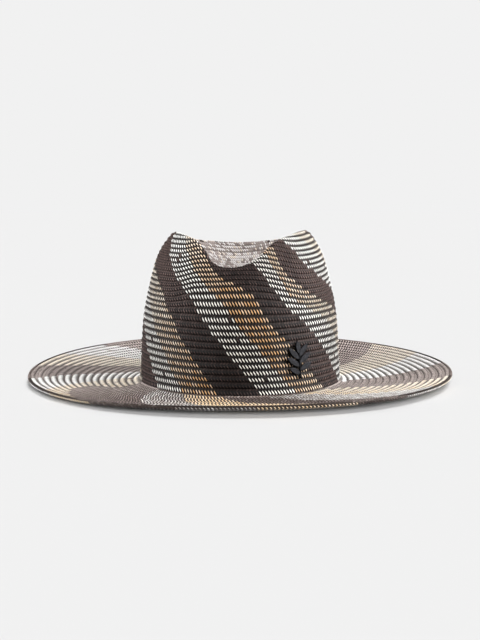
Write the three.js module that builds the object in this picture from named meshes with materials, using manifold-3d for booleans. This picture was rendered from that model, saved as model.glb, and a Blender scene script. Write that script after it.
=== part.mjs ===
import * as THREE from "three";
import Module from "manifold-3d";
import { mergeVertices } from "three/addons/utils/BufferGeometryUtils.js";

// Straw fedora, front towards -Y, resting on z = 0. Millimetres.

const HALF_WIDTH = 82.4;      // crown oval at the break, across the head, outer face
const HALF_LENGTH = 102;      // crown oval at the break, front to back, outer face
const BRIM_WIDTH = 90.5;      // from the break to the brim edge
const WALL = 2;               // thickness of the plaited straw
const HEM_THICK = 3.6;        // brim edge where the straw is turned under
const HEM_WIDTH = 6.4;
const HEM_STATIONS = 2;       // rings of points across the hem
const EDGE_ROUND = 0.7;
const BREAK_ROUND = 9;        // curve between brim and crown
const FLAT_FROM = 10;         // level ring under the brim, measured from the break
const FLAT_TO = 18;
const BRIM_CURL = 1.6;        // how late the brim lifts towards its edge
const BRIM_STEPS = 6;         // facets across the lifted brim
const CENTRE_HEIGHT = 84;     // middle of the top dent
const MID_SHARE = 0.5;        // height of the middle bend, share of the crest height
const SHOULDER_SHARE = 0.86;  // height of the shoulder bend, share of the crest height
const MID_ROUND = 30;
const SHOULDER_ROUND = 22;
const FLOOR_ROUND = 20;
const AROUND = 72;            // facets around the hat

// Crown sections. Angle is measured from the front towards the wearer's left. Crest, shoulder,
// middle and floor radii are shares of the oval radius at that angle, heights are millimetres.
const SECTION_COLUMNS = ["crest", "height", "round", "shoulder", "middle", "floor", "floorHeight"];
const SECTIONS = [
  [-180, 0.72, 110, 9, 0.84, 0.955, 0.38, 90],    // back of the crown
  [-140, 0.70, 114, 9, 0.83, 0.960, 0.35, 88],
  [-95, 0.64, 123, 8, 0.82, 0.960, 0.30, 84],     // right-hand side of the wearer
  [-66, 0.645, 124, 6, 0.815, 0.955, 0.30, 82],   // sharper front corner
  [-42, 0.65, 120.5, 6, 0.78, 0.930, 0.32, 81],   // shallow pinch
  [-32, 0.668, 114, 6.5, 0.785, 0.927, 0.34, 81.5],
  [-22, 0.71, 103, 7, 0.79, 0.925, 0.36, 82],
  [-6, 0.73, 99.3, 8, 0.82, 0.935, 0.38, 83],     // lowest point of the front rim
  [10, 0.71, 104.5, 8, 0.80, 0.930, 0.36, 82],
  [28, 0.65, 117.5, 8, 0.745, 0.920, 0.32, 81],   // deep pinch
  [44, 0.63, 123, 9, 0.755, 0.925, 0.30, 81],
  [68, 0.64, 127, 11, 0.80, 0.955, 0.30, 82],     // rounder front corner
  [95, 0.65, 124, 10, 0.82, 0.962, 0.30, 84],
  [140, 0.70, 115, 9, 0.83, 0.960, 0.35, 88],
];

// Height of the brim's top face at its edge.
const EDGE_COLUMNS = ["height"];
const EDGES = [
  [-180, 15],
  [-135, 12.8],
  [-90, 8.5],
  [-45, 6.3],
  [0, 8.6],
  [45, 9.2],
  [90, 11],
  [135, 13.3],
];

// Pin badge: a small leaf sprig lying on the straw, held by a post through the wall.
const PIN_ANGLE = 34.5;       // degrees from the front
const PIN_HEIGHT = 28;
const PIN_GAP = 0.35;         // between the sprig's back and the straw
const LEAF_THICK = 1.1;
const LEAF_BEVEL = 0.45;
const STEM_RADIUS = 1;
const STEM_FROM = -13.5;
const STEM_TO = 5;
const POST_RADIUS = 1;
const POST_HOLE_RADIUS = 1.4;
const POST_LENGTH = 4.2;

// Leaves of the sprig: foot of the leaf on the stem, lean from upright, size.
const LEAVES = [
  { foot: 4.5, lean: -6, length: 10, width: 3.8 },
  { foot: 3, lean: 46, length: 12.5, width: 3.6 },
  { foot: 0.5, lean: -50, length: 13.5, width: 3.8 },
  { foot: -2.5, lean: 56, length: 14, width: 3.8 },
  { foot: -5, lean: -60, length: 14, width: 3.8 },
  { foot: -8, lean: 66, length: 13, width: 3.6 },
  { foot: -10.5, lean: -68, length: 11, width: 3.4 },
];

const STRAW_COLOUR = 0x9b8b7d;
const PIN_COLOUR = 0x1b1c20;

const wasm = await Module();
wasm.setup();

const rad = (degrees) => (degrees * Math.PI) / 180;

// Smooth closed curve through the rows of a table, its first column an angle.
function rowAt(table, columns, degrees) {
  const n = table.length;
  const angle = ((((degrees + 180) % 360) + 360) % 360) - 180;
  const row = (j) => table[((j % n) + n) % n];
  const at = (j) => row(j)[0] + 360 * Math.floor(j / n);
  let i = n - 1;
  while (i > 0 && table[i][0] > angle) i -= 1;
  const gap = at(i + 1) - at(i);
  const t = (angle - at(i)) / gap;
  const found = {};
  columns.forEach((name, c) => {
    const value = (j) => row(j)[c + 1];
    const slope = (j) => ((value(j + 1) - value(j - 1)) / (at(j + 1) - at(j - 1))) * gap;
    found[name] = value(i) * (2 * t ** 3 - 3 * t ** 2 + 1)
      + slope(i) * (t ** 3 - 2 * t ** 2 + t)
      + value(i + 1) * (3 * t ** 2 - 2 * t ** 3)
      + slope(i + 1) * (t ** 3 - t ** 2);
  });
  return found;
}

function ovalRadius(degrees) {
  return Math.hypot(HALF_WIDTH * Math.sin(rad(degrees)), HALF_LENGTH * Math.cos(rad(degrees)));
}

// A point of the hat: shares of the oval inside the break, square to the oval outside it.
function place(degrees, reach, z) {
  const s = Math.sin(rad(degrees));
  const c = Math.cos(rad(degrees));
  const radius = ovalRadius(degrees);
  const inside = Math.min(reach / radius, 1);
  const past = Math.max(reach - radius, 0);
  const out = new THREE.Vector2(HALF_LENGTH * s, -HALF_WIDTH * c).normalize();
  const x = HALF_WIDTH * s * inside + out.x * past;
  const y = -HALF_LENGTH * c * inside + out.y * past;
  return new THREE.Vector3(x, y, z);
}

// Polyline with each inner corner replaced by a short curve of so many points.
function rounded(corners) {
  const line = [corners[0]];
  for (let i = 1; i < corners.length - 1; i += 1) {
    const corner = corners[i];
    const before = new THREE.Vector2().subVectors(corners[i - 1].at, corner.at);
    const after = new THREE.Vector2().subVectors(corners[i + 1].at, corner.at);
    const reach = Math.min(corner.round, before.length() * 0.49, after.length() * 0.49);
    const start = before.setLength(reach).add(corner.at);
    const end = after.setLength(reach).add(corner.at);
    for (let j = 0; j < corner.points; j += 1) {
      const t = j / (corner.points - 1);
      const at = start.clone().multiplyScalar((1 - t) ** 2);
      at.addScaledVector(corner.at, 2 * t * (1 - t)).addScaledVector(end, t * t);
      line.push({ at, level: false });
    }
  }
  line.push(corners[corners.length - 1]);
  return line;
}

// Top face of the brim, so far past the break.
function brimStation(degrees, past, level = false) {
  const edge = rowAt(EDGES, EDGE_COLUMNS, degrees);
  const share = Math.max(past - FLAT_TO, 0) / (BRIM_WIDTH - FLAT_TO);
  const z = WALL + (edge.height - WALL) * share ** BRIM_CURL;
  return { at: new THREE.Vector2(ovalRadius(degrees) + past, z), level };
}

// Stations of the outer face from the brim edge up over the crest to the middle of the dent.
function stations(degrees) {
  const r = ovalRadius(degrees);
  const s = rowAt(SECTIONS, SECTION_COLUMNS, degrees);
  const hemStart = BRIM_WIDTH - EDGE_ROUND - HEM_WIDTH;
  const brim = [];
  for (const past of [BRIM_WIDTH - EDGE_ROUND, hemStart + 0.3, hemStart - 0.3]) {
    brim.push(brimStation(degrees, past));
  }
  for (let i = 1; i < BRIM_STEPS; i += 1) {
    brim.push(brimStation(degrees, hemStart + ((FLAT_TO - hemStart) * i) / BRIM_STEPS));
  }
  brim.push(brimStation(degrees, FLAT_TO, true));
  const crestHeight = s.height + s.round * 0.25;
  const crown = rounded([
    brimStation(degrees, FLAT_FROM, true),
    { at: new THREE.Vector2(r, WALL), round: BREAK_ROUND, points: 5 },
    { at: new THREE.Vector2(r * s.middle, s.height * MID_SHARE), round: MID_ROUND, points: 4 },
    { at: new THREE.Vector2(r * s.shoulder, s.height * SHOULDER_SHARE), round: SHOULDER_ROUND, points: 4 },
    { at: new THREE.Vector2(r * s.crest, crestHeight), round: s.round, points: 5 },
    { at: new THREE.Vector2(r * s.floor, s.floorHeight), round: FLOOR_ROUND, points: 4 },
    { at: new THREE.Vector2(0, CENTRE_HEIGHT), level: true },
  ]);
  return [...brim, ...crown];
}

// Outer face as rings of points, and the inner face one wall thickness below it.
function faces() {
  const sections = [];
  for (let k = 0; k < AROUND; k += 1) {
    const degrees = (k * 360) / AROUND - 180;
    sections.push(stations(degrees).map((p) => ({ point: place(degrees, p.at.x, p.at.y), level: p.level })));
  }
  const rings = sections[0].length;
  const outer = [];
  const inner = [];
  for (let i = 0; i < rings; i += 1) {
    const top = [];
    const under = [];
    for (let k = 0; k < AROUND; k += 1) {
      const here = sections[k][i];
      const next = sections[(k + 1) % AROUND][i].point;
      const last = sections[(k + AROUND - 1) % AROUND][i].point;
      const inward = sections[k][Math.min(i + 1, rings - 1)].point;
      const outward = sections[k][Math.max(i - 1, 0)].point;
      const along = new THREE.Vector3().subVectors(next, last);
      const across = new THREE.Vector3().subVectors(inward, outward);
      const normal = here.level ? new THREE.Vector3(0, 0, 1) : along.cross(across).normalize();
      const depth = i < HEM_STATIONS ? HEM_THICK : WALL;
      top.push(here.point);
      under.push(here.point.clone().addScaledVector(normal, -depth));
      if (here.level && i < rings - 1) under[k].z = 0;
    }
    outer.push(top);
    inner.push(under);
  }
  return { outer, inner };
}

function addBand(triangles, lower, upper) {
  for (let k = 0; k < AROUND; k += 1) {
    const next = (k + 1) % AROUND;
    triangles.push(lower[k], lower[next], upper[next], lower[k], upper[next], upper[k]);
  }
}

// The whole plaited body: outer face, inner face and the rounded edge between them.
function wovenGeometry() {
  const { outer, inner } = faces();
  const rings = outer.length;
  const positions = [];
  const indexRing = (ring) => ring.map((p) => positions.push(p.x, p.y, p.z) / 3 - 1);
  const middle = rings - 1;
  const top = outer.slice(0, middle).map(indexRing);
  const under = inner.slice(0, middle).map(indexRing);
  const edge = indexRing(outer[0].map((p, k) => {
    const degrees = (k * 360) / AROUND - 180;
    const low = inner[0][k];
    return place(degrees, ovalRadius(degrees) + BRIM_WIDTH, (p.z + low.z) / 2);
  }));
  const [topMiddle] = indexRing([outer[middle][0]]);
  const [underMiddle] = indexRing([inner[middle][0]]);
  const triangles = [];
  for (let i = 0; i < middle - 1; i += 1) {
    addBand(triangles, top[i], top[i + 1]);
    addBand(triangles, under[i + 1], under[i]);
  }
  addBand(triangles, edge, top[0]);
  addBand(triangles, under[0], edge);
  for (let k = 0; k < AROUND; k += 1) {
    const next = (k + 1) % AROUND;
    triangles.push(top[middle - 1][k], top[middle - 1][next], topMiddle);
    triangles.push(under[middle - 1][next], under[middle - 1][k], underMiddle);
  }
  const geometry = new THREE.BufferGeometry();
  geometry.setAttribute("position", new THREE.Float32BufferAttribute(positions, 3));
  geometry.setIndex(triangles);
  return geometry;
}

function solidOf(geometry) {
  const bare = new THREE.BufferGeometry();
  bare.setAttribute("position", geometry.getAttribute("position"));
  if (geometry.index) bare.setIndex(geometry.index);
  const merged = mergeVertices(bare, 1e-4);
  const vertProperties = new Float32Array(merged.getAttribute("position").array);
  const triVerts = new Uint32Array(merged.index.array);
  return new wasm.Manifold(new wasm.Mesh({ numProp: 3, vertProperties, triVerts }));
}

function geometryOf(solid) {
  const mesh = solid.getMesh();
  const geometry = new THREE.BufferGeometry();
  geometry.setAttribute("position", new THREE.BufferAttribute(mesh.vertProperties, 3));
  geometry.setIndex(new THREE.BufferAttribute(mesh.triVerts, 1));
  geometry.computeVertexNormals();
  return geometry;
}

// Frame on the outer face of the crown, +Z out of the straw and +Y up the wall.
function pinFrame() {
  const at = (degrees, height) => {
    const line = stations(degrees);
    const i = line.findIndex((p) => p.at.y >= height);
    const low = line[i - 1].at;
    const t = (height - low.y) / (line[i].at.y - low.y);
    return place(degrees, low.x + (line[i].at.x - low.x) * t, height);
  };
  const step = 5;
  const centre = at(PIN_ANGLE, PIN_HEIGHT);
  const along = new THREE.Vector3().subVectors(at(PIN_ANGLE + step, PIN_HEIGHT), at(PIN_ANGLE - step, PIN_HEIGHT));
  const up = new THREE.Vector3().subVectors(at(PIN_ANGLE, PIN_HEIGHT + step), at(PIN_ANGLE, PIN_HEIGHT - step));
  const out = new THREE.Vector3().crossVectors(along, up).normalize();
  const side = new THREE.Vector3().crossVectors(up, out).normalize();
  const upright = new THREE.Vector3().crossVectors(out, side);
  return new THREE.Matrix4().makeBasis(side, upright, out).setPosition(centre);
}

function leafGeometry({ foot, lean, length, width }) {
  const outline = new THREE.Shape();
  outline.moveTo(0, 0);
  outline.quadraticCurveTo(width * 1.05, length * 0.42, 0, length);
  outline.quadraticCurveTo(-width * 1.05, length * 0.42, 0, 0);
  const geometry = new THREE.ExtrudeGeometry(outline, {
    depth: LEAF_THICK - LEAF_BEVEL,
    curveSegments: 7,
    bevelSize: LEAF_BEVEL,
    bevelThickness: LEAF_BEVEL,
    bevelSegments: 2,
  });
  geometry.translate(0, 0, LEAF_BEVEL);
  geometry.rotateZ(rad(-lean));
  geometry.translate(0, foot, PIN_GAP);
  return geometry;
}

function postGeometry(radius, from, to) {
  const geometry = new THREE.CylinderGeometry(radius, radius, to - from, 20);
  geometry.rotateX(Math.PI / 2);
  geometry.translate(0, 0, (from + to) / 2);
  return geometry;
}

function sprigSolid() {
  const stem = new THREE.CapsuleGeometry(STEM_RADIUS, STEM_TO - STEM_FROM, 4, 12);
  stem.translate(0, (STEM_FROM + STEM_TO) / 2, PIN_GAP + STEM_RADIUS);
  let solid = solidOf(stem);
  for (const leaf of LEAVES) solid = solid.add(solidOf(leafGeometry(leaf)));
  return solid.add(solidOf(postGeometry(POST_RADIUS, -POST_LENGTH, PIN_GAP + STEM_RADIUS)));
}

function named(name, geometry, colour, roughness, metalness) {
  const material = new THREE.MeshStandardMaterial({ color: colour, roughness, metalness });
  const mesh = new THREE.Mesh(geometry, material);
  mesh.name = name;
  return mesh;
}

const frame = pinFrame();
const hole = postGeometry(POST_HOLE_RADIUS, -3 * WALL, 2 * WALL);
hole.applyMatrix4(frame);
const woven = geometryOf(solidOf(wovenGeometry()).subtract(solidOf(hole)));
const sprig = geometryOf(sprigSolid());
sprig.applyMatrix4(frame);

const hat = new THREE.Group();
hat.name = "straw_fedora";
hat.add(named("woven_body", woven, STRAW_COLOUR, 0.75, 0));
hat.add(named("pin_badge", sprig, PIN_COLOUR, 0.35, 0.85));

export default hat;
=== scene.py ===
import math

import bmesh
import bpy
import numpy as np
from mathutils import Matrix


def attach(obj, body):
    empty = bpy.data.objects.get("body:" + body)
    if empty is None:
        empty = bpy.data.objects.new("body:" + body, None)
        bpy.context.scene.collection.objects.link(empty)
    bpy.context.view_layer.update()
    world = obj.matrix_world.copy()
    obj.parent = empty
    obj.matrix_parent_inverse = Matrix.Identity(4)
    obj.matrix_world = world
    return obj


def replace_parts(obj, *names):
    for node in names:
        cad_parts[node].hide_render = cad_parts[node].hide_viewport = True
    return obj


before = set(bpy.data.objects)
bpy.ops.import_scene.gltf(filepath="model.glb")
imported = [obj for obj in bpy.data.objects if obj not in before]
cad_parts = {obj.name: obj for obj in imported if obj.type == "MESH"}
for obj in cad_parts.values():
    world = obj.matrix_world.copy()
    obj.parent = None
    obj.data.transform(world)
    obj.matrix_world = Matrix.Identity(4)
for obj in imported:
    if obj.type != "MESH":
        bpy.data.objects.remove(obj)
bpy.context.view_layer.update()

# Straw fedora, front towards -Y, resting on z = 0. Metres, with MM for sizes given in millimetres.

MM = 0.001

# Form of the hat, as in the frame
HALF_WIDTH = 82.4 * MM
HALF_LENGTH = 102 * MM
BRIM_WIDTH = 90.5 * MM
WALL = 2 * MM
BREAK_ROUND = 9 * MM
FLAT_FROM = 10 * MM
FLAT_TO = 18 * MM
BRIM_CURL = 1.6
CENTRE_HEIGHT = 84 * MM
MID_SHARE = 0.5
SHOULDER_SHARE = 0.86
MID_ROUND = 30 * MM
SHOULDER_ROUND = 22 * MM
FLOOR_ROUND = 20 * MM
CREST_RISE = 0.25             # how far a crest's corner is over it, as a share of its rounding

# Crown sections: angle from the front towards the wearer's left, shares of the oval radius for the
# crest, shoulder, middle and floor, and heights in millimetres.
SECTION_COLUMNS = ("crest", "height", "round", "shoulder", "middle", "floor", "floor_height")
SECTIONS = (
    (-180, 0.72, 110, 9, 0.84, 0.955, 0.38, 90),
    (-140, 0.70, 114, 9, 0.83, 0.960, 0.35, 88),
    (-95, 0.64, 123, 8, 0.82, 0.960, 0.30, 84),
    (-66, 0.645, 124, 6, 0.815, 0.955, 0.30, 82),
    (-42, 0.65, 120.5, 6, 0.78, 0.930, 0.32, 81),
    (-32, 0.668, 114, 6.5, 0.785, 0.927, 0.34, 81.5),
    (-22, 0.71, 103, 7, 0.79, 0.925, 0.36, 82),
    (-6, 0.73, 99.3, 8, 0.82, 0.935, 0.38, 83),
    (10, 0.71, 104.5, 8, 0.80, 0.930, 0.36, 82),
    (28, 0.65, 117.5, 8, 0.745, 0.920, 0.32, 81),
    (44, 0.63, 123, 9, 0.755, 0.925, 0.30, 81),
    (68, 0.64, 127, 11, 0.80, 0.955, 0.30, 82),
    (95, 0.65, 124, 10, 0.82, 0.962, 0.30, 84),
    (140, 0.70, 115, 9, 0.83, 0.960, 0.35, 88),
)

# Height of the brim's top face at its edge, in millimetres. In front it lies up to 1.8 mm over the
# frame's, as in the photograph.
EDGES = (
    (-180, 15),
    (-135, 12.8),
    (-90, 8.5),
    (-45, 7.0),
    (0, 10.4),
    (45, 9.8),
    (90, 11),
    (135, 13.3),
)

# Rows of straw: the number of a row counted from the foot of the crown, and how far up from the
# break its stitches lie at the sides of the hat, in millimetres.
ROWS = (
    (-18, -86.9),
    (-4, -8.7),
    (0, 11.3),
    (10, 61.5),
    (23, 113.8),
    (27, 131.7),
    (44, 208),
)
BRIM_ROW = 5.55 * MM          # breadth of a row on the brim
FIRST_CROWN_ROW = -2
CLOSING_ROW = 27              # above it the rows close in evenly on the middle of the dent

# Pieces of the weave: the first row of each, and the row after its last one
WOVEN_PIECES = {
    "brim_outer_rows": (-18, -9),
    "brim_inner_rows": (-9, FIRST_CROWN_ROW),
    "crown_lower_rows": (FIRST_CROWN_ROW, 13),
    "crown_upper_rows": (13, CLOSING_ROW),
    "crown_dent_rows": (CLOSING_ROW, 44),
}

# How far the rows above the middle of the crown ride up, in millimetres
LIFTS = (
    (-180, 0),
    (-110, 0),
    (-50, 0),
    (-30, 6.5),
    (-12, 8.5),
    (5, 9),
    (18, 7.5),
    (30, 4),
    (45, -1),
    (60, -2),
    (90, 0),
    (135, 0),
)
LIFT_FROM_ROW = 8
LIFT_FULL_ROW = 14

# Inside the dent most strands are white, with dark flecks: the row from which they are, by angle
DENT_ROWS = (
    (-180, 21),
    (-135, 22),
    (-100, 24),
    (-70, 26.5),
    (-45, 28.5),
    (-20, 28),
    (0, 27.5),
    (40, 27),
    (90, 25),
    (140, 22.5),
)
DENT_EARLY = 0.7              # how many rows before it the first ones are
DENT_FADE = 3.4               # over how many rows their share grows
DENT_DARK = 0.24              # share of dark flecks, and half as many tan ones

# Weave
STITCHES = (                  # row, and how long its stitches are along it, in millimetres
    (14, 2.8),
    (24, 2.5),
    (30, 2.0),
)
FEWEST_STITCHES = 6           # in a row
COLUMNS_PER_STITCH = 3
SLANT = 0.68                  # sideways lean of a stitch for its height
UPRIGHT = 0.75                # how much less of it there is at the wearer's left
EDGE_SLANT = 0.6              # share of it that the stitches of the brim edge have
PULLED_IN = 0.42              # share of its height that a stitch keeps where it meets the next
INNER_PULL = 0.3              # how much of that the inner side of a stitch follows
STITCH_FOOT = -0.32           # where a row's section starts, in rows from the stitches' middle
STITCH_TOP = 0.64             # where a stitch stops leaning over, in rows
TURNED_BACK = 0.2             # how far over it still leans where the next row begins, in rows
SEAM = 0.001 * MM             # points that are nearer than this are welded

# Sections across one row: place across it in rows, height over the wall's middle in millimetres,
# and place in the stitch's tile.
BRIM_SECTION = (
    (-0.04, 0.00, 0.00),
    (0.05, 0.62, 0.07),
    (0.34, 1.00, 0.31),
    (0.62, 0.75, 0.54),
    (0.74, 0.25, 0.64),
    (0.86, 0.20, 0.80),
    (1.03, 0.05, 0.98),
    (0.80, -0.90, 0.70),
    (0.30, -0.95, 0.33),
)
CROWN_SECTION = (
    (-0.04, 0.00, 0.00),
    (0.08, 0.70, 0.10),
    (0.31, 1.00, 0.33),
    (0.55, 0.75, 0.56),
    (0.66, 0.35, 0.64),
    (0.83, 0.50, 0.80),
    (1.03, 0.15, 0.98),
    (0.77, -0.90, 0.70),
    (0.29, -0.95, 0.33),
)
DENT_SECTION = (
    (-0.04, 0.00, 0.04),
    (0.08, 0.30, 0.09),
    (0.36, 0.38, 0.31),
    (0.70, 0.35, 0.50),
    (0.93, 0.25, 0.62),
    (1.03, 0.05, 0.70),
    (0.77, -0.90, 0.66),
    (0.29, -0.95, 0.33),
)

# Sections across the two layers of the brim edge: millimetres in from the edge, millimetres over
# the brim's outer face, and place in the stitch's tile.
UPPER_EDGE = (
    (0.6, -1.3, 0.66),
    (0.1, -0.9, 0.70),
    (0.2, -0.4, 0.75),
    (0.8, 0.1, 0.82),
    (1.6, 0.1, 0.90),
    (2.3, -0.5, 0.98),
    (1.9, -1.5, 0.80),
    (1.1, -1.6, 0.70),
)
TURNED_UNDER = (
    (0.9, -0.7, 0.98),
    (0.25, -0.9, 0.80),
    (0.0, -1.3, 0.66),
    (0.05, -1.7, 0.45),
    (0.2, -2.2, 0.20),
    (0.9, -2.8, 0.03),
    (3.4, -3.3, 0.33),
    (5.4, -3.1, 0.60),
    (6.3, -2.6, 0.80),
    (5.8, -2.0, 0.90),
    (3.4, -1.9, 0.95),
)

# Layers of the brim edge, and how far up from the break the swirl is read for each
EDGE_LAYERS = (
    (UPPER_EDGE, -BRIM_WIDTH + 3 * MM),
    (TURNED_UNDER, -BRIM_WIDTH - 5 * MM),
)

# Knob of straw in the middle of the dent
BUTTON_RADIUS = 4.6 * MM
BUTTON_FLATNESS = 0.35        # its height as a share of its width
BUTTON_TILE = (15.5, 0.33)    # where on the weave's map it lies, in tiles
BUTTON_REACH = 0.2            # how far it reaches from there, in tiles

# How broad and how pale the strands are, from 0 to 1: in front, how much more at the sides, and how
# much more at the back.
BRIM_BREADTH = (0.12, 0.7, 0.2)
CROWN_BREADTH = (0.15, 0.06, 0.0)
TOP_BREADTH = 0.28            # how much broader still towards the top of the crown
BREADTH_SPREAD = 0.25         # how unevenly broad they are
# The paleness added at the sides, and at the back of the brim, is painted sheen of straw seen at a low
# angle.
BRIM_PALENESS_AND_SHEEN = (0.08, 0.87, 0.6)
CROWN_PALENESS_AND_SHEEN = (0.1, 0.85, 0.0)
TOP_PALENESS = 0.25           # how much paler still towards the top of the crown
BRIM_UNEVEN = (0.85, -0.6, -0.5)   # how unevenly pale they are
CROWN_UNEVEN = (0.3, 0.1, 0.0)

# Places where a new strand is laid in: angle, and millimetres up from the break
JOINS = (
    (-106, 74),
    (-61, 38),
    (-48, 13),
    (-49, 105),
    (-19, 90),
    (-5, 55),
    (-1, 40),
    (15, 12),
    (-134.5, -78.5),
    (-114, -78.5),
    (-128, -55.5),
    (-92, -75),
    (-69, -42),
    (-78, -18),
    (81, -16),
)
OTHER_JOINS = 0.003           # share of all stitches

# Swirl of coloured bands: millimetres up from the break, and the angle there of one band's start,
# with how much further it turns at the sides.
SWIRL = (
    (-100, 47, -5),
    (-85, 40, -3.5),
    (-40, 27, 3),
    (-10, 18, 5.5),
    (0, 11, 1),
    (17, 1, 0.5),
    (37, -10, 0),
    (54, -20.5, 0),
    (72, -31, 0),
    (85, -42, 0),
    (96, -51, 0),
    (116, -64, 0),
    (200, -125, 0),
)
BANDS = 6
SIDE_TURN = 2                 # how much further every band turns at the sides

# How far the bands lean over towards the top of the crown, in degrees, by angle
LEANS = (
    (-180, 0),
    (-90, 0),
    (-15, 0),
    (12, -4),
    (25, 1.5),
    (36, 13),
    (50, 17),
    (65, 15),
    (90, 8),
    (120, 0),
)
LEAN_FROM = 52 * MM
LEAN_FULL = 77 * MM

# Where white and tan end within a band's turn, as shares of it; the rest is dark
WHITE_SHARE = 0.31
TAN_END = 0.64
TOP_TAN_LOSS = 0.09           # how much earlier tan ends at the top of the crown
TOP_TANS_FROM = 80 * MM
TOP_TANS_FADE = 18 * MM
BRIM_TAN_ENDS = (             # and where it ends on the brim, by angle
    (-180, 0.64),
    (-100, 0.65),
    (-66, 0.43),
    (-36, 0.62),
    (15, 0.74),
    (60, 0.62),
    (90, 0.62),
    (135, 0.64),
)
BRIM_TANS_FROM = 20 * MM
BRIM_TANS_FADE = 25 * MM

# Tiles of the weave's map: 16 by 16, with so many rows of tiles for each colour of straw, from its
# deepest shade to its palest.
MAP_NAME = "OFBake"
TILES = 16
TILE_EDGE = 0.06              # margin round a stitch, in tiles
SHADES = 5

# Colours of the straw, each between two tones as the photograph's numbers. On the brim, which is seen
# at a low angle, the straw is painted paler: painted sheen of the straw at that angle.
CROWN_TONES = {
    "white": ((236, 231, 222), (255, 254, 250)),
    "tan": ((209, 163, 111), (246, 236, 221)),
    "dark": ((52, 36, 32), (140, 113, 107)),
    # course and gap: dark strands, painted darker still as painted shade in the grooves and gaps
    # between stitches
    "course": ((13, 10, 9), (54, 48, 46)),
    "gap": ((3, 2, 2), (6, 4, 4)),
}
BRIM_SHEEN_TONES = {
    "white": ((158, 150, 143), (255, 254, 252)),
    "tan": ((243, 212, 168), (251, 241, 226)),
    "dark": ((132, 116, 110), (220, 206, 200)),
    "course": ((84, 72, 68), (134, 127, 123)),
    "gap": ((38, 30, 28), (48, 40, 37)),
}
# Brim edge: the brim's painted sheen, with its dark strands and courses painted darker as painted
# shade under the rolled edge.
EDGE_SHEEN_AND_SHADE_TONES = dict(
    BRIM_SHEEN_TONES,
    dark=((66, 56, 52), (176, 161, 154)),
    course=((36, 29, 27), (54, 45, 42)),
)
DENT_TONES = {
    "white": ((181, 177, 174), (223, 220, 219)),
    "tan": ((190, 177, 160), (226, 217, 206)),
    "dark": ((108, 97, 94), (178, 167, 163)),
    "course": ((126, 115, 110), (186, 176, 170)),
    "gap": ((84, 75, 72), (116, 107, 103)),
}
CROWN_DARK_TINT = 0.28        # how much of a dark strand's colour shows between the strands
BRIM_DARK_TINT = 0.7
EDGE_DARK_TINT = 0.5
TAN_TINT = 0.015              # and how much of a tan one's
PALENESS_CHANCE = 0.15        # share of a strand's paleness that is its own

# Strands and the courses between them, in shares of a stitch's tile. The fades go from where a
# strand or course is whole to where it has ended.
STRAND_SIDES = (0.29, 0.38)   # from its middle
COURSE_SIDES = (0.3, 0.42)
STRAND_FOOT = (0.02, 0.06)
STRAND_TOP = (0.6, 0.66)
STRAND_MIDDLE = 0.31          # up the tile, where a strand is broadest
TAPER = 1.5
BREADTH_CHANGE = 0.17         # how much narrower the narrowest strands are on each side
TAN_NARROWER = 0.01
DARK_NARROWER = 0.08          # and this much more than tan

# Fibres of the straw
FIBRES = (9, 1.3)             # how many for each tile, across and along, for a scale of 1
FIBRE_SCALE = 4.0
FIBRE_DETAIL = 2.0
FIBRE_FADE = (0.35, 0.75)
FIBRE_TONE = (44, 33, 28)
FIBRE_SHARE = 0.12
STRAW_SHINE = 0.15
STRAW_ROUGHNESS = 0.6
STRAND_SMOOTHER = 0.1         # how much less rough the strands are than what is between them
STRAND_RELIEF = 0.6
FIBRE_RELIEF = 0.4
RELIEF_STRENGTH = 0.35
RELIEF_DEPTH = 0.25 * MM

# Blackened metal of the pin
METAL_TONES = ((15, 15, 17), (44, 44, 48))
METALLIC = 0.9
METAL_ROUGHNESS = 0.28
WEAR_ROUGHER = 0.15
WEAR_SCALE = 900.0
WEAR_DETAIL = 3.0
WEAR_FADE = (0.4, 0.8)

# Photograph's camera, in millimetres and pixels
IMAGE_HEIGHT = 640
CAMERA_BACK = 1350
CAMERA_HEIGHT = 202
AIM_HEIGHT = 49.8
FOCAL_PIXELS = 1655
SENSOR = 36
FARTHEST = 50                 # what the camera sees, in metres

STAGE_PIECES = ("floor", "backdrop")
STAGE_SIZE = 40               # half a side of each
BACKGROUND_TONE = (241, 241, 241)
FLOOR_TONE = (211, 211, 211)
GLOW = (1.0, 3.0)             # how far from the hat the floor begins to glow, and glows fully

# Soft lights that shine from far off: direction from the front towards the wearer's left, height
# above the horizon, both in degrees, strength, and width in degrees. The hat and the floor each
# have their own, so that no shadow of the side lights falls beside the hat.
HAT_LIGHTS = {
    "overhead": (180, 86, 0.8, 40),
    "front": (-10, 48, 0.75, 40),
    "right_side": (-82, 28, 3.1, 50),
    "left_side": (82, 28, 5.6, 50),
}
FLOOR_LIGHTS = {
    "floor_key": (15, 48, 2.54, 22),
    "floor_fill": (4, 15, 6.7, 16),
}
SKY_STRENGTH = 0.2

random = np.random.default_rng(7)


def row_at(table, degrees):
    """Smooth closed curve through a table's rows, read at the angles: one column each."""
    rows = np.array(table, float)
    n = len(rows)
    at = np.concatenate([rows[:, 0] - 360, rows[:, 0], rows[:, 0] + 360])
    values = np.concatenate([rows[:, 1:]] * 3)
    x = (np.asarray(degrees, float) + 180) % 360 - 180
    i = np.clip(np.searchsorted(at, x, side="right") - 1, n - 1, 2 * n)
    gap = at[i + 1] - at[i]
    t = ((x - at[i]) / gap)[..., None]

    def slope(j):
        return (values[j + 1] - values[j - 1]) / (at[j + 1] - at[j - 1])[..., None] * gap[..., None]

    found = values[i] * (2 * t**3 - 3 * t**2 + 1) + slope(i) * (t**3 - 2 * t**2 + t)
    return found + values[i + 1] * (3 * t**2 - 2 * t**3) + slope(i + 1) * (t**3 - t**2)


def oval_radius(degrees):
    turn = np.radians(degrees)
    return np.hypot(HALF_WIDTH * np.sin(turn), HALF_LENGTH * np.cos(turn))


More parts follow.
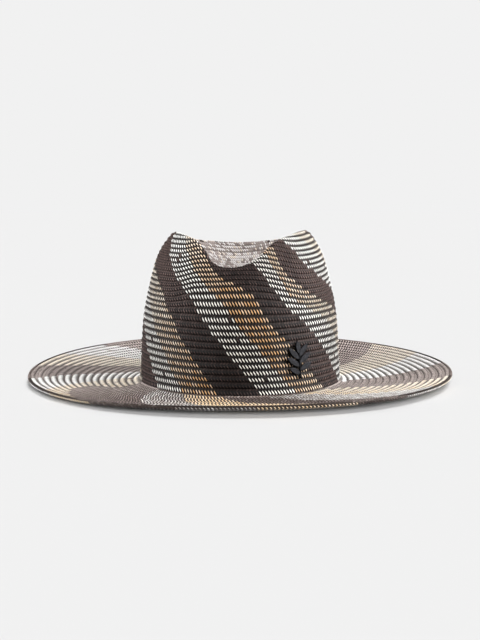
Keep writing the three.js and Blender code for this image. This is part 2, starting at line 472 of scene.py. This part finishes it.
def place(degrees, reach, z):
    """Points of the hat: shares of the oval inside the break, square to the oval outside it."""
    s, c = np.sin(np.radians(degrees)), np.cos(np.radians(degrees))
    radius = oval_radius(degrees)
    inside = np.minimum(reach / radius, 1)
    past = np.maximum(reach - radius, 0)
    across = np.stack([HALF_LENGTH * s, -HALF_WIDTH * c])
    across = across / np.linalg.norm(across, axis=0)
    x = HALF_WIDTH * s * inside + across[0] * past
    y = -HALF_LENGTH * c * inside + across[1] * past
    return np.stack([x, y, z], axis=-1)


def rounded(corners, points=12):
    """Polyline with its inner corners, (reach, height, round), replaced by short curves."""
    at = np.array([corner[:2] for corner in corners])
    line = [at[:1]]
    t = np.linspace(0, 1, points)[:, None]
    for i in range(1, len(at) - 1):
        before, after = at[i - 1] - at[i], at[i + 1] - at[i]
        long_before, long_after = np.linalg.norm(before), np.linalg.norm(after)
        reach = min(corners[i][2], long_before * 0.49, long_after * 0.49)
        start = at[i] + before / long_before * reach
        end = at[i] + after / long_after * reach
        line.append((1 - t) ** 2 * start + 2 * t * (1 - t) * at[i] + t**2 * end)
    line.append(at[-1:])
    return np.concatenate(line)


def brim_height(degrees, past):
    edge = row_at(EDGES, degrees)[..., 0] * MM
    share = np.maximum(past - FLAT_TO, 0) / (BRIM_WIDTH - FLAT_TO)
    return WALL + (edge - WALL) * share**BRIM_CURL


def lengths_along(line):
    steps = np.linalg.norm(np.diff(line, axis=0), axis=1)
    return np.r_[0, np.cumsum(steps)]


def crown_line(degrees):
    """Reach and height along the crown at one angle, from the brim's flat ring to the middle."""
    s = dict(zip(SECTION_COLUMNS, row_at(SECTIONS, np.array([degrees]))[0]))
    r = float(oval_radius(degrees))
    height, turn = s["height"] * MM, s["round"] * MM
    return rounded([
        (r + FLAT_FROM, WALL, 0),
        (r, WALL, BREAK_ROUND),
        (r * s["middle"], height * MID_SHARE, MID_ROUND),
        (r * s["shoulder"], height * SHOULDER_SHARE, SHOULDER_ROUND),
        (r * s["crest"], height + turn * CREST_RISE, turn),
        (r * s["floor"], s["floor_height"] * MM, FLOOR_ROUND),
        (0, CENTRE_HEIGHT, 0),
    ])


class Surface:
    """The hat's outer face by angle and by distance up from the break, negative on the brim."""

    ANGLES = 720
    STEP = 0.5 * MM

    def __init__(self):
        self.degrees = np.arange(self.ANGLES) * 360 / self.ANGLES - 180
        self.start = -BRIM_WIDTH
        lines = [crown_line(d) for d in self.degrees]
        lengths = [lengths_along(line) for line in lines]
        self.length = np.array([along[-1] for along in lengths]) - FLAT_FROM
        self.distance = np.arange(self.start, self.length.max() + self.STEP, self.STEP)
        table = np.zeros((self.ANGLES, len(self.distance), 3))
        for k, (line, along) in enumerate(zip(lines, lengths)):
            on_brim = self.distance < -FLAT_FROM
            past = -self.distance[on_brim]
            angle = np.full(len(past), self.degrees[k])
            table[k, on_brim] = place(angle, oval_radius(angle) + past, brim_height(angle, past))
            up = self.distance[~on_brim] + FLAT_FROM
            reach = np.interp(up, along, line[:, 0])
            z = np.interp(up, along, line[:, 1])
            table[k, ~on_brim] = place(np.full(len(up), self.degrees[k]), reach, z)
        self.table = table
        around = np.roll(table, -1, axis=0) - np.roll(table, 1, axis=0)
        along = np.gradient(table, axis=1)
        normal = np.cross(around, along)
        size = np.linalg.norm(normal, axis=2, keepdims=True)
        self.normal = np.where(size > 1e-12, normal / np.maximum(size, 1e-12), [0, 0, 1])

    def read(self, table, degrees, distance):
        a = ((degrees + 180) % 360) * self.ANGLES / 360
        i = np.floor(a).astype(int) % self.ANGLES
        u = (a - np.floor(a))[..., None]
        b = np.clip((distance - self.start) / self.STEP, 0, table.shape[1] - 1.001)
        j = b.astype(int)
        v = (b - j)[..., None]
        k = (i + 1) % self.ANGLES
        low = table[i, j] * (1 - u) + table[k, j] * u
        high = table[i, j + 1] * (1 - u) + table[k, j + 1] * u
        return low * (1 - v) + high * v

    def crown_length(self, degrees):
        return np.interp((degrees + 180) % 360, self.degrees + 180, self.length, period=360)

    def at(self, degrees, distance, height=0.0):
        """Points so far over the outer face, along its normal."""
        point = self.read(self.table, degrees, distance)
        normal = self.read(self.normal, degrees, distance)
        normal /= np.linalg.norm(normal, axis=-1, keepdims=True)
        return point + normal * np.asarray(height)[..., None]


surface = Surface()


def smooth(x):
    x = np.clip(x, 0, 1)
    return x * x * (3 - 2 * x)


def true_distance(degrees, row):
    """How far up from the break a row lies at each angle; rows may be fractions."""
    level = np.array(ROWS, float)
    even = np.interp(row, level[:, 0], level[:, 1]) * MM
    even = even + np.minimum(row - level[0, 0], 0) * BRIM_ROW
    closing = smooth((row - CLOSING_ROW) / (level[-1, 0] - CLOSING_ROW))
    spare = surface.crown_length(degrees) - level[-1, 1] * MM
    rise = smooth((row - LIFT_FROM_ROW) / (LIFT_FULL_ROW - LIFT_FROM_ROW))
    lift = row_at(LIFTS, degrees)[..., 0] * MM
    return even + spare * closing + lift * rise * (1 - closing)


def band_share(degrees, distance):
    """Place within a band's turn, from 0 at the start of its white to 1."""
    table = np.array(SWIRL, float)
    turn = np.interp(distance / MM, table[:, 0], table[:, 1])
    side = np.interp(distance / MM, table[:, 0], table[:, 2])
    lean = row_at(LEANS, degrees)[..., 0] * smooth((distance - LEAN_FROM) / (LEAN_FULL - LEAN_FROM))
    sideways = np.sin(np.radians(degrees))
    angle = degrees + lean - turn - side * sideways - SIDE_TURN * sideways
    return (angle * BANDS / 360) % 1


def straw_colour(degrees, distance):
    """0 for white, 1 for tan and 2 for dark, for each stitch."""
    share = band_share(degrees, distance)
    on_brim = smooth((-distance - BRIM_TANS_FROM) / BRIM_TANS_FADE)
    on_top = smooth((distance - TOP_TANS_FROM) / TOP_TANS_FADE)
    tan_end = TAN_END + (row_at(BRIM_TAN_ENDS, degrees)[..., 0] - TAN_END) * on_brim
    tan_end = tan_end - TOP_TAN_LOSS * on_top
    return np.where(share < WHITE_SHARE, 0, np.where(share < tan_end, 1, 2))


def by_side(values, degrees):
    """A value in front, with what is added at the sides and at the back."""
    front, sides, back = values
    turn = np.radians(degrees)
    return front + sides * np.sin(turn) ** 2 + back * np.maximum(-np.cos(turn), 0)


def spread(value, width):
    """The values, each moved a little at random and kept from 0 to just under 1."""
    return np.clip(value + width * (random.random(len(value)) - 0.5), 0, 0.999)


def tile_for(colour, degrees, row):
    """A tile for each stitch: its colour and paleness go by rows of tiles, its breadth by columns."""
    in_dent = dent_share(degrees, row) > random.random(len(colour))
    on_brim = row < FIRST_CROWN_ROW
    breadth = by_side(BRIM_BREADTH if on_brim else CROWN_BREADTH, degrees)
    # Paler at the sides and at the back: painted sheen.
    paleness = by_side(BRIM_PALENESS_AND_SHEEN if on_brim else CROWN_PALENESS_AND_SHEEN, degrees)
    uneven = by_side(BRIM_UNEVEN if on_brim else CROWN_UNEVEN, degrees)
    paleness = paleness + TOP_PALENESS * smooth(row / CLOSING_ROW)
    breadth = breadth + TOP_BREADTH * smooth(row / CLOSING_ROW)
    across = np.where(in_dent, TILES - 1, np.floor(spread(breadth, BREADTH_SPREAD) * TILES))
    down = colour * SHADES + np.floor(spread(paleness, uneven) * SHADES)
    return np.stack([across, down], axis=-1)


def joined(colour, degrees, distance):
    """Colours with single stitches swapped where a new strand is laid in."""
    swapped = random.random(len(colour)) < OTHER_JOINS
    for angle, up in JOINS:
        if abs(distance.mean() - up * MM) < BRIM_ROW * 0.5:
            nearest = np.argmin(np.abs((degrees - angle + 180) % 360 - 180))
            swapped[nearest] = True
    return np.where(swapped, 2, colour)


def girth_of(row):
    degrees = np.arange(0, 360, 2.0) - 180
    ring = surface.at(degrees, true_distance(degrees, np.full(len(degrees), float(row))))
    return np.linalg.norm(ring - np.roll(ring, 1, axis=0), axis=1).sum()


def stitch_columns(girth, stitch, phase):
    """Angles of the columns round a row of stitches, and the middle of each stitch."""
    stitches = max(FEWEST_STITCHES, round(girth / stitch))
    column = np.arange(stitches * COLUMNS_PER_STITCH + 1)
    degrees = column * 360 / (len(column) - 1) + phase
    middle = (np.arange(stitches) + 0.5) * 360 / stitches + phase
    return degrees, middle


def stitch_heights(height, columns):
    """Heights over the wall, pulled in where one stitch meets the next."""
    pulled = np.arange(columns) % COLUMNS_PER_STITCH == 0
    wave = np.where(pulled, PULLED_IN, 1.0)[:, None]
    return np.where(height > 0, height * wave, height * (1 - INNER_PULL + INNER_PULL * wave))


def ring_of_stitches(row, phase):
    """Points and map of one closed row of stitches, as grids of columns round and places across."""
    girth = girth_of(row)
    lengths = np.array(STITCHES)
    stitch = np.interp(row, lengths[:, 0], lengths[:, 1]) * MM
    column, middle = stitch_columns(girth, stitch, phase)
    on_brim = row < FIRST_CROWN_ROW
    section = BRIM_SECTION if on_brim else CROWN_SECTION if row < CLOSING_ROW else DENT_SECTION
    section = np.array(section + section[:1])
    across, height, tile_v = section[:, 0], section[:, 1] * MM, section[:, 2]
    up = np.interp(across, (0, STITCH_TOP, 1), (0, STITCH_TOP, TURNED_BACK))
    lean = -SLANT * (up + STITCH_FOOT) * BRIM_ROW
    leaning = 1 - UPRIGHT * np.maximum(np.sin(np.radians(column)), 0)
    degrees = column[:, None] + leaning[:, None] * lean[None, :] * 360 / girth
    rows = np.broadcast_to(row + STITCH_FOOT + across, degrees.shape)
    lifted = stitch_heights(height, len(column)) - WALL / 2
    points = surface.at(degrees, true_distance(degrees, rows), lifted)
    distance = true_distance(middle, np.full(len(middle), float(row)))
    colour = joined(whitened(straw_colour(middle, distance), middle, row), middle, distance)
    tile = tile_for(colour, middle, row)
    return points, tile, tile_v


def ring_of_edge(section, swirl_distance, phase):
    """Points and map of one layer of the brim edge."""
    ring = surface.at(np.arange(360.0), np.full(360, -BRIM_WIDTH))
    girth = np.linalg.norm(ring - np.roll(ring, 1, axis=0), axis=1).sum()
    column, middle = stitch_columns(girth, STITCHES[0][1] * MM, phase)
    section = np.array(section + section[:1])
    inward, height, tile_v = section[:, 0] * MM, section[:, 1] * MM, section[:, 2]
    lean = -SLANT * (tile_v + STITCH_FOOT) * BRIM_ROW * EDGE_SLANT
    degrees = column[:, None] + lean[None, :] * 360 / girth
    distance = np.broadcast_to(inward - BRIM_WIDTH, degrees.shape)
    points = surface.at(degrees, distance, stitch_heights(height, len(column)))
    tile = tile_for(straw_colour(middle, np.full(len(middle), swirl_distance)), middle, ROWS[0][0])
    return points, tile, tile_v


def dent_share(degrees, row):
    return smooth((row - row_at(DENT_ROWS, degrees)[..., 0] + DENT_EARLY) / DENT_FADE)


def whitened(colour, degrees, row):
    """Colours with many strands swapped for white inside the dent."""
    share = dent_share(degrees, row)
    chance = random.random(len(colour))
    dark = np.where(colour == 2, 2, 1) * DENT_DARK
    flecked = np.where(chance < 1 - dark, 0, 2)
    flecked = np.where(chance < DENT_DARK / 2, 1, flecked)
    return np.where(random.random(len(colour)) < share, flecked, colour)


def woven_piece(name, rings):
    """Rings of stitches as one mesh: each a grid of faces rolled up into a closed ring."""
    bm = bmesh.new()
    places, maps = [], []
    for points, tile, tile_v in rings:
        columns, across = len(points) - 1, points.shape[1] - 1
        bmesh.ops.create_grid(bm, x_segments=columns, y_segments=across, size=1)
        places.append(points.transpose(1, 0, 2).reshape(-1, 3))
        maps.append(face_maps(tile, tile_v, columns, across))
    mesh = bpy.data.meshes.new(name)
    bm.to_mesh(mesh)
    bm.free()
    mesh.vertices.foreach_set("co", np.concatenate(places).astype(np.float32).ravel())
    layer = mesh.uv_layers.new(name=MAP_NAME)
    layer.data.foreach_set("uv", np.concatenate(maps).astype(np.float32).ravel())
    close_rings(mesh)
    mesh.shade_smooth()
    return finished(name, mesh)


def face_maps(tile, tile_v, columns, across):
    """Map places for the four corners of each face of a grid, face by face."""
    column = np.arange(columns)
    stitch = column // COLUMNS_PER_STITCH
    left = (column % COLUMNS_PER_STITCH) / COLUMNS_PER_STITCH
    right = left + 1 / COLUMNS_PER_STITCH
    maps = np.zeros((across, columns, 4, 2))
    for corner, (side, up) in enumerate(((left, 0), (right, 0), (right, 1), (left, 1))):
        for k in range(across):
            spot = np.stack([side, np.full(columns, tile_v[k + up])], -1)
            inside = TILE_EDGE + (1 - 2 * TILE_EDGE) * spot
            maps[k, :, corner] = (tile[stitch] + inside) / TILES
    return maps.reshape(-1, 2)


def close_rings(mesh):
    bm = bmesh.new()
    bm.from_mesh(mesh)
    bmesh.ops.remove_doubles(bm, verts=bm.verts, dist=SEAM)
    bmesh.ops.recalc_face_normals(bm, faces=bm.faces)
    bm.to_mesh(mesh)
    bm.free()


def finished(name, mesh):
    piece = bpy.data.objects.new(name, mesh)
    bpy.context.scene.collection.objects.link(piece)
    return piece


class Signal:
    """A number or a colour on its way through a finish's nodes."""

    def __init__(self, finish, socket):
        self.finish = finish
        self.socket = socket

    def math(self, operation, *others):
        return self.finish.node("Math", {"operation": operation}, dict(enumerate((self, *others))))

    def __add__(self, other):
        return self.math("ADD", other)

    def __sub__(self, other):
        return self.math("SUBTRACT", other)

    def __mul__(self, other):
        return self.math("MULTIPLY", other)

    def __truediv__(self, other):
        return self.math("DIVIDE", other)

    def __rsub__(self, other):
        return self.finish.node("Math", {"operation": "SUBTRACT"}, {0: other, 1: self})

    __radd__ = __add__
    __rmul__ = __mul__

    def __abs__(self):
        return self.math("ABSOLUTE")

    def __gt__(self, other):
        return self.math("GREATER_THAN", other)

    def floor(self):
        return self.math("FLOOR")

    def fraction(self):
        return self.math("FRACT")

    def fade(self, start, end):
        """0 at start to 1 at end, smoothly."""
        inputs = {"Value": self, "From Min": start, "From Max": end}
        return self.finish.node("MapRange", {"interpolation_type": "SMOOTHSTEP"}, inputs)


class Finish:
    """A material, with its nodes made by one method."""

    def __init__(self, name, **shader):
        self.material = bpy.data.materials.new(name)
        self.material.use_nodes = True
        self.tree = self.material.node_tree
        self.shader = self.tree.nodes["Principled BSDF"]
        for socket, value in shader.items():
            self.feed(self.shader.inputs[socket.replace("_", " ")], value)

    def feed(self, socket, value):
        if isinstance(value, Signal):
            self.tree.links.new(value.socket, socket)
        else:
            socket.default_value = value

    def node(self, kind, settings=None, inputs=None, output=0):
        made = self.tree.nodes.new("ShaderNode" + kind)
        for key, value in (settings or {}).items():
            setattr(made, key, value)
        for key, value in (inputs or {}).items():
            self.feed(made.inputs[key], value)
        return Signal(self, made.outputs[output])

    def mix(self, share, one, other):
        """Colour between one and other."""
        return self.node("Mix", {"data_type": "RGBA"}, {0: share, 6: one, 7: other}, output=2)

    def between(self, share, tones):
        """Colour between two tones given as the photograph's numbers."""
        deep, pale = tones
        return self.mix(share, rgb(*deep), rgb(*pale))

    def give(self, piece):
        piece.data.materials.clear()
        piece.data.materials.append(self.material)


def rgb(red, green, blue):
    """A colour as the photograph's numbers, 0 to 255, in the shader's linear light."""
    def linear(c):
        c /= 255
        return c / 12.92 if c <= 0.04045 else ((c + 0.055) / 1.055) ** 2.4
    return (linear(red), linear(green), linear(blue), 1)


def straw_finish(name, tones, dark_tint):
    """Plaited straw, read from the weave's map: a tile for each stitch."""
    finish = Finish(name, Specular_IOR_Level=STRAW_SHINE)
    mapped = finish.node("UVMap", {"uv_map": MAP_NAME})
    u = finish.node("SeparateXYZ", None, {0: mapped}) * TILES
    v = finish.node("SeparateXYZ", None, {0: mapped}, output=1) * TILES
    column, row = u.floor(), v.floor()
    across = (u.fraction() - TILE_EDGE) / (1 - 2 * TILE_EDGE)
    up = (v.fraction() - TILE_EDGE) / (1 - 2 * TILE_EDGE)
    only_strands = column > TILES - 1.5
    beyond_white = row > SHADES - 0.5
    beyond_tan = row > 2 * SHADES - 0.5

    narrower = (1 - column / TILES) * BREADTH_CHANGE
    narrower = narrower + beyond_white * TAN_NARROWER + beyond_tan * DARK_NARROWER
    taper = abs(up - STRAND_MIDDLE) * abs(up - STRAND_MIDDLE) * TAPER
    strand = 1 - (abs(across - 0.5) + taper + narrower).fade(*STRAND_SIDES)
    course = 1 - abs(across - 0.5).fade(*COURSE_SIDES)
    face = (1 - up.fade(*STRAND_TOP)) * up.fade(*STRAND_FOOT)
    face = face.math("MAXIMUM", only_strands)

    seed = finish.node("CombineXYZ", None, {0: column, 1: row})
    tint = beyond_white * TAN_TINT + beyond_tan * (dark_tint - TAN_TINT)
    strand_tone, shaded_course_tone, shaded_gap_tone = straw_tones(finish, tones, seed, row, only_strands, tint)
    below = finish.mix(course, shaded_gap_tone, shaded_course_tone)
    colour = finish.mix(face, below, finish.mix(strand, shaded_gap_tone, strand_tone))

    stretched = finish.node("CombineXYZ", None, {0: u * FIBRES[0], 1: v * FIBRES[1]})
    inputs = {"Vector": stretched, "Scale": FIBRE_SCALE, "Detail": FIBRE_DETAIL}
    fibre = finish.node("TexNoise", {"noise_dimensions": "2D"}, inputs)
    colour = finish.mix(fibre.fade(*FIBRE_FADE) * FIBRE_SHARE, colour, rgb(*FIBRE_TONE))
    finish.feed(finish.shader.inputs["Base Color"], colour)
    roughness = STRAW_ROUGHNESS - strand * face * STRAND_SMOOTHER
    finish.feed(finish.shader.inputs["Roughness"], roughness)
    relief = {"Height": strand * STRAND_RELIEF + fibre * FIBRE_RELIEF}
    bump = finish.node("Bump", None, {"Strength": RELIEF_STRENGTH, "Distance": RELIEF_DEPTH, **relief})
    finish.feed(finish.shader.inputs["Normal"], bump)
    return finish


def straw_tones(finish, tones, seed, row, only_strands, tint):
    """Tones of a strand, of the course beside it and of the gap between strands. The course and the
    gap are dark strands, painted darker still as painted shade in the grooves and gaps between
    stitches.
    """
    chance = finish.node("TexWhiteNoise", {"noise_dimensions": "2D"}, {"Vector": seed})
    other_chance = finish.node("TexWhiteNoise", {"noise_dimensions": "3D"}, {"Vector": seed})
    level = (row / SHADES).fraction() * ((1 - PALENESS_CHANCE) * SHADES / (SHADES - 1))
    paleness = chance * PALENESS_CHANCE + level

    def tone(key, share):
        outside = finish.between(share, tones[key])
        return finish.mix(only_strands, outside, finish.between(share, DENT_TONES[key]))

    light = finish.mix(row > SHADES - 0.5, tone("white", paleness), tone("tan", paleness))
    strand = finish.mix(row > 2 * SHADES - 0.5, light, tone("dark", paleness))
    course = finish.mix(tint, tone("course", paleness * paleness), strand)
    return strand, course, tone("gap", other_chance)


def dark_metal_finish():
    """Blackened metal with a soft gloss and slight wear."""
    finish = Finish("dark_metal", Metallic=METALLIC)
    place_on = finish.node("TexCoord", output=3)
    inputs = {"Vector": place_on, "Scale": WEAR_SCALE, "Detail": WEAR_DETAIL}
    wear = finish.node("TexNoise", None, inputs)
    colour = finish.between(wear.fade(*WEAR_FADE), METAL_TONES)
    finish.feed(finish.shader.inputs["Base Color"], colour)
    finish.feed(finish.shader.inputs["Roughness"], METAL_ROUGHNESS + wear * WEAR_ROUGHER)
    return finish


def floor_finish():
    """Pale paper that is lit near the hat and far from it glows like the backdrop."""
    finish = Finish("pale_paper", Roughness=1.0, Specular_IOR_Level=0.0, Emission_Strength=1.0)
    place_on = finish.node("TexCoord", output=3)
    far = finish.node("VectorMath", {"operation": "LENGTH"}, {0: place_on}, output=1).fade(*GLOW)
    black = rgb(0, 0, 0)
    finish.feed(finish.shader.inputs["Base Color"], finish.mix(far, rgb(*FLOOR_TONE), black))
    glow = finish.mix(far, black, rgb(*BACKGROUND_TONE))
    finish.feed(finish.shader.inputs["Emission Color"], glow)
    return finish


def backdrop_finish():
    """Black paper that glows evenly in the background's grey."""
    tone = rgb(*BACKGROUND_TONE)
    return Finish("lit_backdrop", Base_Color=rgb(0, 0, 0), Specular_IOR_Level=0.0,
                  Emission_Color=tone, Emission_Strength=1.0)


def make_weave():
    crown_straw = straw_finish("crown_straw", CROWN_TONES, CROWN_DARK_TINT)
    # The brim's straw is painted paler, as painted sheen.
    brim_sheen_straw = straw_finish("brim_sheen_straw", BRIM_SHEEN_TONES, BRIM_DARK_TINT)
    # The edge's straw adds painted shade under the rolled edge to the brim's painted sheen.
    edge_sheen_and_shade_straw = straw_finish("edge_sheen_and_shade_straw", EDGE_SHEEN_AND_SHADE_TONES, EDGE_DARK_TINT)
    for name, (first, end) in WOVEN_PIECES.items():
        rings = [ring_of_stitches(row, random.random() * 360) for row in range(first, end)]
        straw = brim_sheen_straw if end <= FIRST_CROWN_ROW else crown_straw
        place_straw(woven_piece(name, rings), straw)
    rings = [ring_of_edge(section, swirl, random.random() * 360) for section, swirl in EDGE_LAYERS]
    place_straw(woven_piece("brim_edge", rings), edge_sheen_and_shade_straw)
    place_straw(crown_button(), crown_straw)


def place_straw(piece, straw):
    straw.give(piece)
    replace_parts(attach(piece, "root"), "woven_body")


def crown_button():
    """Small knob of straw that closes the middle of the dent."""
    bm = bmesh.new()
    bmesh.ops.create_uvsphere(bm, u_segments=24, v_segments=10, radius=BUTTON_RADIUS)
    layer = bm.loops.layers.uv.new(MAP_NAME)
    for face in bm.faces:
        for loop in face.loops:
            x, y, _ = loop.vert.co / BUTTON_RADIUS * BUTTON_REACH
            loop[layer].uv = ((BUTTON_TILE[0] + x) / TILES, (BUTTON_TILE[1] + y) / TILES)
    for vert in bm.verts:
        vert.co.z = vert.co.z * BUTTON_FLATNESS + CENTRE_HEIGHT - WALL / 2
    mesh = bpy.data.meshes.new("crown_button")
    bm.to_mesh(mesh)
    bm.free()
    mesh.shade_smooth()
    return finished("crown_button", mesh)


def make_camera():
    lens = FOCAL_PIXELS * SENSOR / IMAGE_HEIGHT
    data = bpy.data.cameras.new("photo_camera")
    data.lens = lens
    data.sensor_width = SENSOR
    data.clip_end = FARTHEST
    camera = bpy.data.objects.new("photo_camera", data)
    drop = math.atan2(CAMERA_HEIGHT - AIM_HEIGHT, CAMERA_BACK)
    camera.location = (0, -CAMERA_BACK * MM, CAMERA_HEIGHT * MM)
    camera.rotation_euler = (math.pi / 2 - drop, 0, 0)
    bpy.context.scene.collection.objects.link(camera)
    bpy.context.scene.camera = camera


def stage_sheet(name, finish):
    bm = bmesh.new()
    bmesh.ops.create_grid(bm, x_segments=1, y_segments=1, size=STAGE_SIZE)
    mesh = bpy.data.meshes.new(name)
    bm.to_mesh(mesh)
    bm.free()
    sheet = finished(name, mesh)
    finish.give(sheet)
    return sheet


def make_stage():
    """Pale floor, and behind it a backdrop that it fades into."""
    floor, backdrop = STAGE_PIECES
    stage_sheet(floor, floor_finish())
    sheet = stage_sheet(backdrop, backdrop_finish())
    sheet.visible_diffuse = False
    sheet.visible_glossy = False
    sheet.visible_shadow = False
    sheet.rotation_euler = (math.pi / 2, 0, 0)
    sheet.location = (0, STAGE_SIZE, 0)


def lit_together(name, pieces):
    """A group of pieces that some lights shine on, or are shaded by."""
    group = bpy.data.collections.new(name)
    for piece in pieces:
        group.objects.link(piece)
    return group


def make_lights():
    """Lights for the hat, and lights for the floor on which only the brim casts a shadow."""
    meshes = [piece for piece in bpy.context.scene.objects if piece.type == "MESH"]
    stage = [piece for piece in meshes if piece.name in STAGE_PIECES]
    hat = [piece for piece in meshes if piece not in stage]
    brim = lit_together("brim", [piece for piece in hat if piece.name.startswith("brim")])
    world = bpy.data.worlds.new("studio")
    world.use_nodes = True
    background = world.node_tree.nodes["Background"]
    background.inputs["Color"].default_value = (1, 1, 1, 1)
    background.inputs["Strength"].default_value = SKY_STRENGTH
    bpy.context.scene.world = world
    hat_lights = (HAT_LIGHTS, lit_together("hat_lit", hat), None)
    floor_lights = (FLOOR_LIGHTS, lit_together("floor_lit", stage), brim)
    for lights, lit, shading in (hat_lights, floor_lights):
        for name, (turn, height, strength, width) in lights.items():
            data = bpy.data.lights.new(name, "SUN")
            data.energy = strength
            data.angle = math.radians(width)
            light = bpy.data.objects.new(name, data)
            light.rotation_euler = (math.radians(90 - height), 0, math.radians(turn))
            light.light_linking.receiver_collection = lit
            light.light_linking.blocker_collection = shading
            bpy.context.scene.collection.objects.link(light)


make_camera()
make_weave()
dark_metal_finish().give(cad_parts["pin_badge"])
make_stage()
make_lights()
bpy.context.scene.view_settings.view_transform = "Standard"
